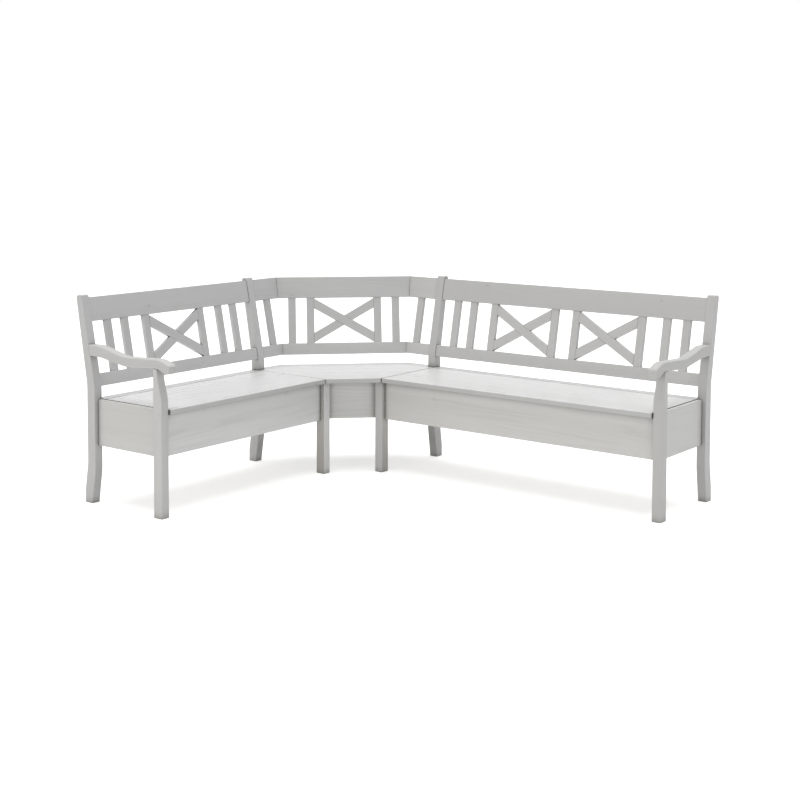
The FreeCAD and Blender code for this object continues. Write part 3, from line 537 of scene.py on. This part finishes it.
def pick_faces(piece, wanted):
    """Select the faces for which wanted(face) is true, and say how many there are."""
    bpy.ops.object.mode_set(mode="OBJECT")
    for face in piece.data.polygons:
        face.select = wanted(face)
    picked = sum(face.select for face in piece.data.polygons)
    bpy.ops.object.mode_set(mode="EDIT")
    return picked


def copy_of_board(name, ending):
    """Copy a board's mesh into a piece of its own, and merge its loose triangles."""
    piece = bpy.data.objects.new(name + ending, nodes[name].data.copy())
    bpy.context.collection.objects.link(piece)
    start_edit(piece)
    bpy.ops.mesh.select_all(action="SELECT")
    bpy.ops.mesh.remove_doubles(threshold=MERGE_DISTANCE)
    bpy.ops.mesh.dissolve_limited(angle_limit=FLAT_WITHIN)
    return piece


# %% Ease the ends
EASE = 0.0016
EASE_STEPS = 2
LOOKS_ALONG = 0.7
SMOOTH_RAIL = math.radians(35)
CORNER_RAILS = [name for name in sorted(nodes) if name.startswith("corner") and "_rail_" in name]
WING_RAILS = [name for name in sorted(nodes) if name.endswith("_rail")]


def ease_ends(name, both):
    """Bevel the rim of a rail's end faces, at both ends or at the one by the corner."""
    rail = copy_of_board(name, "_eased")
    along = board_direction(name)
    spots = [vertex.co.dot(along) for vertex in rail.data.vertices]
    middle = (min(spots) + max(spots)) / 2
    near = CORNER.dot(along) - middle

    def is_end(face):
        spot = face.center.dot(along) - middle
        return abs(face.normal.dot(along)) > LOOKS_ALONG and (both or spot * near > 0)

    ends = pick_faces(rail, is_end)
    bpy.ops.mesh.region_to_loop()
    bpy.ops.mesh.bevel(offset=EASE, offset_type="OFFSET", segments=EASE_STEPS, affect="EDGES")
    bpy.ops.object.mode_set(mode="OBJECT")
    bpy.ops.object.shade_smooth_by_angle(angle=SMOOTH_RAIL)
    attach(rail, "frame")
    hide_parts(name)
    return ends, len(rail.data.polygons)


for name in CORNER_RAILS + WING_RAILS:
    print(name, "end faces and faces in all:", ease_ends(name, name in CORNER_RAILS))
deselect_everything()

# %% [markdown]
# ## Steel and felt
# The hinges are zinc-plated steel with a brushed grain that is darker in its hollows, and
# the lids close on small felt pads. Both are small, but they show when a lid is open.

# %% Steel and felt
BRUSH_MARKS = (60, 60, 1800)
GREY_ZINC = (0.52, 0.53, 0.54)
BRIGHT_ZINC = (0.66, 0.66, 0.67)
HOLLOW_ZINC = (0.12, 0.12, 0.12)
HOLLOW_REACH = 0.0015
HOLLOW_LIMITS = (0.35, 0.8)
HOLLOW_SHARE = 0.8
BRUSH_LIMITS = (0.2, 0.8)
ZINC_ROUGHNESS = (0.28, 0.42)
FUZZ_SCALE = 900.0
DEEP_FELT = (0.60, 0.60, 0.58)
PALE_FELT = (0.82, 0.82, 0.80)


def brushed_steel(name):
    """Make zinc-plated steel: brushed along one way, and darker in its hollows."""
    material, tree = new_material(name)
    place = add_node(tree, "ShaderNodeTexCoord")
    turned = add_node(tree, "ShaderNodeMapping", Vector=place.outputs["Object"])
    turned.inputs["Scale"].default_value = BRUSH_MARKS
    brush = add_node(tree, "ShaderNodeTexNoise", Vector=turned.outputs[0], Scale=1.0, Detail=3.0)
    colour = blend_colours(tree, brush.outputs["Fac"], GREY_ZINC, BRIGHT_ZINC)
    hollow = ramp(tree, closed_in(tree, HOLLOW_REACH, False), *HOLLOW_LIMITS, 0.0, HOLLOW_SHARE)
    colour = blend_colours(tree, hollow, colour, HOLLOW_ZINC)
    rough = ramp(tree, brush.outputs["Fac"], *BRUSH_LIMITS, *ZINC_ROUGHNESS)
    bump = add_node(tree, "ShaderNodeBump", Strength=0.12, Distance=0.0002,
                    Height=brush.outputs["Fac"])
    shader = add_node(tree, "ShaderNodeBsdfPrincipled", Base_Color=colour, Roughness=rough,
                      Metallic=1.0, Normal=bump.outputs[0])
    add_node(tree, "ShaderNodeOutputMaterial", Surface=shader.outputs[0])
    return material


def felt(name):
    """Make pressed felt: a fine fuzz that shows in the colour and in the surface."""
    material, tree = new_material(name)
    place = add_node(tree, "ShaderNodeTexCoord")
    fuzz = add_node(tree, "ShaderNodeTexNoise", Vector=place.outputs["Object"],
                    Scale=FUZZ_SCALE, Detail=4.0)
    colour = blend_colours(tree, fuzz.outputs["Fac"], DEEP_FELT, PALE_FELT)
    bump = add_node(tree, "ShaderNodeBump", Strength=0.5, Distance=0.0005,
                    Height=fuzz.outputs["Fac"])
    shader = add_node(tree, "ShaderNodeBsdfPrincipled", Base_Color=colour, Roughness=0.95,
                      Normal=bump.outputs[0])
    add_node(tree, "ShaderNodeOutputMaterial", Surface=shader.outputs[0])
    return material


STEEL = brushed_steel("zinc_plated_steel")
for name in nodes:
    if "leaves" in name:
        dress(nodes[name], STEEL)
dress(nodes["lid_rest_pads"], felt("white_felt"))
print("fittings dressed:", [name for name in sorted(nodes) if name not in wood_nodes])

# %% [markdown]
# ## Screws
# Under the lids, screws hold the battens and the hinge leaves. A screw's head is a low
# dome with a six-lobed socket. It starts as a flat disc that is drawn up, inset twice
# and raised in the middle. The corners of the inner face are then pulled in, every
# fourth one most and its neighbours less, and the face is pushed down to cut the socket.
# One head is made so, and then copied to every screw's place: it is smaller and lower on
# the hinge leaves, which fold onto each other.

# %% One screw head
HEAD_CORNERS = 24
HEAD_RADIUS = 0.0038
HEAD_HEIGHT = 0.0010
RIM_HEIGHT = HEAD_HEIGHT * 0.5
DOME_INSET = HEAD_RADIUS * 0.28
SOCKET_INSET = HEAD_RADIUS * 0.17
SOCKET_RADIUS = HEAD_RADIUS * 0.55
SOCKET_DEPTH = HEAD_HEIGHT * 0.8
CORNERS_TO_A_LOBE = 4
SAME_SPOT = 0.00001
NEAR_MIDDLE = HEAD_RADIUS * 0.1
LOOKS_UP = 0.9
SMOOTH_HEAD = math.radians(30)


def at_height(face, height):
    return face.normal.z > LOOKS_UP and abs(face.center.z - height) < SAME_SPOT


def is_socket(face):
    return at_height(face, HEAD_HEIGHT) and face.center.xy.length < NEAR_MIDDLE


def pull_corners(piece, corners, share):
    """Pull the given corners of each lobe of the socket's rim towards the middle."""
    bpy.ops.mesh.select_mode(type="VERT")
    bpy.ops.mesh.select_all(action="DESELECT")
    bpy.ops.object.mode_set(mode="OBJECT")
    for vertex in piece.data.vertices:
        on_top = abs(vertex.co.z - HEAD_HEIGHT) < SAME_SPOT
        on_rim = on_top and vertex.co.xy.length < SOCKET_RADIUS * 1.01
        turn = math.degrees(math.atan2(vertex.co.y, vertex.co.x))
        corner = round(turn / (360 / HEAD_CORNERS)) % CORNERS_TO_A_LOBE
        vertex.select = on_rim and corner in corners
    bpy.ops.object.mode_set(mode="EDIT")
    bpy.ops.transform.resize(value=(share, share, 1), center_override=(0, 0, HEAD_HEIGHT))
    bpy.ops.mesh.select_mode(type="FACE")
    bpy.ops.mesh.select_all(action="DESELECT")


deselect_everything()
bpy.ops.mesh.primitive_circle_add(vertices=HEAD_CORNERS, radius=HEAD_RADIUS, fill_type="NGON")
screw_head = bpy.context.active_object
bpy.ops.object.mode_set(mode="EDIT")
bpy.ops.mesh.select_mode(type="FACE")
bpy.ops.mesh.select_all(action="SELECT")
bpy.ops.mesh.extrude_region_move(TRANSFORM_OT_translate={"value": (0, 0, RIM_HEIGHT)})
bpy.ops.mesh.select_all(action="SELECT")
bpy.ops.mesh.normals_make_consistent(inside=False)
pick_faces(screw_head, lambda face: at_height(face, RIM_HEIGHT))
bpy.ops.mesh.inset(thickness=DOME_INSET)
bpy.ops.transform.translate(value=(0, 0, HEAD_HEIGHT - RIM_HEIGHT))
bpy.ops.mesh.inset(thickness=SOCKET_INSET)
pull_corners(screw_head, corners=(2,), share=0.70)
pull_corners(screw_head, corners=(1, 3), share=0.86)
pick_faces(screw_head, is_socket)
bpy.ops.mesh.extrude_region_move(TRANSFORM_OT_translate={"value": (0, 0, -SOCKET_DEPTH)})
bpy.ops.object.mode_set(mode="OBJECT")
bpy.ops.object.shade_smooth_by_angle(angle=SMOOTH_HEAD)
screw_head.data.materials.append(STEEL)
print("screw head faces:", len(screw_head.data.polygons))

# %% Places for the screws
DOWN = Vector((0, 0, -1))
BOARD_GAP = 0.1
# Each screw of a batten: how far along it, and on which side of its middle.
BATTEN_SCREWS = ((0.10, -1), (0.37, 1), (0.63, -1), (0.90, 1))
ZIGZAG = 0.013
# Each screw of a hinge leaf: how far along it, and how high on it.
LEAF_SCREWS = ((0.15, 0.0095), (0.5, 0.0045), (0.85, 0.0095))
LEAF_FACE_SETBACK = 0.0004
# A head's width and height, as shares of the modelled one's.
BATTEN_HEAD = (1.0, 1.0)
LEAF_HEAD = (0.68, 0.25)


def boards_along(name, axis):
    """Give where each separate board of a node starts and ends along an axis."""
    spots = sorted(vertex.co[axis] for vertex in nodes[name].data.vertices)
    spans = [[spots[0], spots[0]]]
    for spot in spots:
        if spot - spans[-1][1] > BOARD_GAP:
            spans.append([spot, spot])
        spans[-1][1] = spot
    return spans


def batten_spots(wing, axis):
    """Give four screws for each batten, in a zigzag along its middle."""
    low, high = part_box(wing + "_lid_battens")
    across = 1 - axis
    spots = []
    for start, end in boards_along(wing + "_lid_battens", axis):
        for share, side in BATTEN_SCREWS:
            spot = Vector((0, 0, low[2]))
            spot[axis] = (start + end) / 2 + side * ZIGZAG
            spot[across] = low[across] + share * (high[across] - low[across])
            spots.append((spot, DOWN, *BATTEN_HEAD))
    return spots


def leaf_spots(name, axis, outward):
    """Give three screws for each hinge leaf, on the face that looks at the other leaf."""
    low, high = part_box(name)
    across = 1 - axis
    setback = outward[across] * LEAF_FACE_SETBACK
    spots = []
    for start, end in boards_along(name, axis):
        for share, rise in LEAF_SCREWS:
            spot = Vector((0, 0, low[2] + rise))
            spot[axis] = start + share * (end - start)
            spot[across] = (low[across] + high[across]) / 2 - setback
            spots.append((spot, outward, *LEAF_HEAD))
    return spots


# %% Screws under the lids
FRONT_OF = {"long": Vector(TO_THE_FRONT), "short": Vector(TO_THE_SIDE)}


def drive_screws(name, body, spots):
    """Copy the screw head to each spot, join the copies and let them ride on a body."""
    copies = []
    for spot, outward, width, height in spots:
        piece = bpy.data.objects.new(name, screw_head.data.copy())
        bpy.context.collection.objects.link(piece)
        turned = outward.to_track_quat("Z", "Y").to_matrix().to_4x4()
        piece.matrix_world = (Matrix.Translation(spot) @ turned
                              @ Matrix.Diagonal((width, width, height, 1)))
        copies.append(piece)
    deselect_everything()
    for piece in copies:
        piece.select_set(True)
    bpy.context.view_layer.objects.active = copies[0]
    bpy.ops.object.join()
    bpy.ops.object.transform_apply(location=True, rotation=True, scale=True)
    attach(copies[0], body)
    print(name, len(spots), "screws")


frame_spots = []
for wing, axis in (("short", 1), ("long", 0)):
    front = FRONT_OF[wing]
    frame_spots += leaf_spots(wing + "_hinge_frame_leaves", axis, front)
    lid_spots = (batten_spots(wing, axis)
                 + leaf_spots(wing + "_hinge_lid_leaves", axis, -front))
    drive_screws(wing + "_lid_screws", wing + "_lid", lid_spots)
drive_screws("frame_hinge_screws", "frame", frame_spots)
bpy.data.objects.remove(screw_head)

# %% [markdown]
# ## Floor and light
# A white floor and a white surround let the glazed wood read as slightly grey. The
# floor adds a little light of its own, which the eye sees but which lights nothing, so
# that it stays white while still showing the bench's soft shadow. The studio's light
# comes from a wide lit ceiling and from two dimmer walls of cloth, one warmer and one
# cooler. A small lamp would light only the near end of so long a bench, so each is a
# sun lamp with a very wide disc, which reaches all parts alike and has soft shadows.

# %% Floor
FLOOR_SIZE = 60
FLOOR_WHITE = (0.86, 0.86, 0.86, 1)
FLOOR_GLOW = 0.60


def seen_rays(tree):
    """Give 1 for what the eye meets, straight on or in a reflection, and 0 for light."""
    rays = add_node(tree, "ShaderNodeLightPath")
    seen = math_node(tree, "MAXIMUM", rays.outputs["Is Camera Ray"],
                     rays.outputs["Is Glossy Ray"])
    return math_node(tree, "MAXIMUM", seen, rays.outputs["Is Transmission Ray"])


def floor_material(name):
    """Make a white matt floor that glows a little for the eye alone."""
    material, tree = new_material(name)
    strength = math_node(tree, "MULTIPLY", seen_rays(tree), FLOOR_GLOW)
    matt = add_node(tree, "ShaderNodeBsdfDiffuse", Color=FLOOR_WHITE)
    light = add_node(tree, "ShaderNodeEmission", Strength=strength)
    both = add_node(tree, "ShaderNodeAddShader")
    tree.links.new(matt.outputs[0], both.inputs[0])
    tree.links.new(light.outputs[0], both.inputs[1])
    add_node(tree, "ShaderNodeOutputMaterial", Surface=both.outputs[0])
    return material


deselect_everything()
bpy.ops.mesh.primitive_plane_add(size=FLOOR_SIZE, location=(0, 0, 0))
floor = bpy.context.active_object
floor.name = "floor"
floor.data.materials.append(floor_material("pale_floor"))
print("floor:", FLOOR_SIZE, "metres each way")

# %% Lamps and surround
NEUTRAL = (1.0, 1.0, 1.0)
WARM = (1.0, 0.96, 0.87)
COOL = (0.84, 0.93, 1.0)
SURROUND_STRENGTH = 0.20
BACKDROP_STRENGTH = 1.0


def soft_light(name, from_direction, strength, spread, colour):
    """Add a far, wide light: a ceiling or a wall of cloth that the lamps shine through."""
    data = bpy.data.lights.new(name, "SUN")
    data.energy = strength
    data.angle = math.radians(spread)
    data.color = colour
    lamp = bpy.data.objects.new(name, data)
    bpy.context.collection.objects.link(lamp)
    lamp.rotation_euler = Vector(from_direction).to_track_quat("Z", "Y").to_euler()


soft_light("ceiling", (-0.05, 0.05, 1.0), strength=2.3, spread=60, colour=NEUTRAL)
soft_light("front_wall", (-0.15, -0.95, 0.30), strength=0.365, spread=40, colour=WARM)
soft_light("side_wall", (0.95, -0.20, 0.20), strength=0.135, spread=40, colour=COOL)

world = bpy.data.worlds.new("studio")
bpy.context.scene.world = world
world.use_nodes = True
tree = world.node_tree
tree.nodes.clear()
white = (*NEUTRAL, 1.0)
surround = add_node(tree, "ShaderNodeBackground", Color=white, Strength=SURROUND_STRENGTH)
backdrop = add_node(tree, "ShaderNodeBackground", Color=white, Strength=BACKDROP_STRENGTH)
chosen = add_node(tree, "ShaderNodeMixShader")
tree.links.new(seen_rays(tree), chosen.inputs[0])
tree.links.new(surround.outputs[0], chosen.inputs[1])
tree.links.new(backdrop.outputs[0], chosen.inputs[2])
add_node(tree, "ShaderNodeOutputWorld", Surface=chosen.outputs[0])
bpy.context.scene.view_settings.view_transform = "Standard"
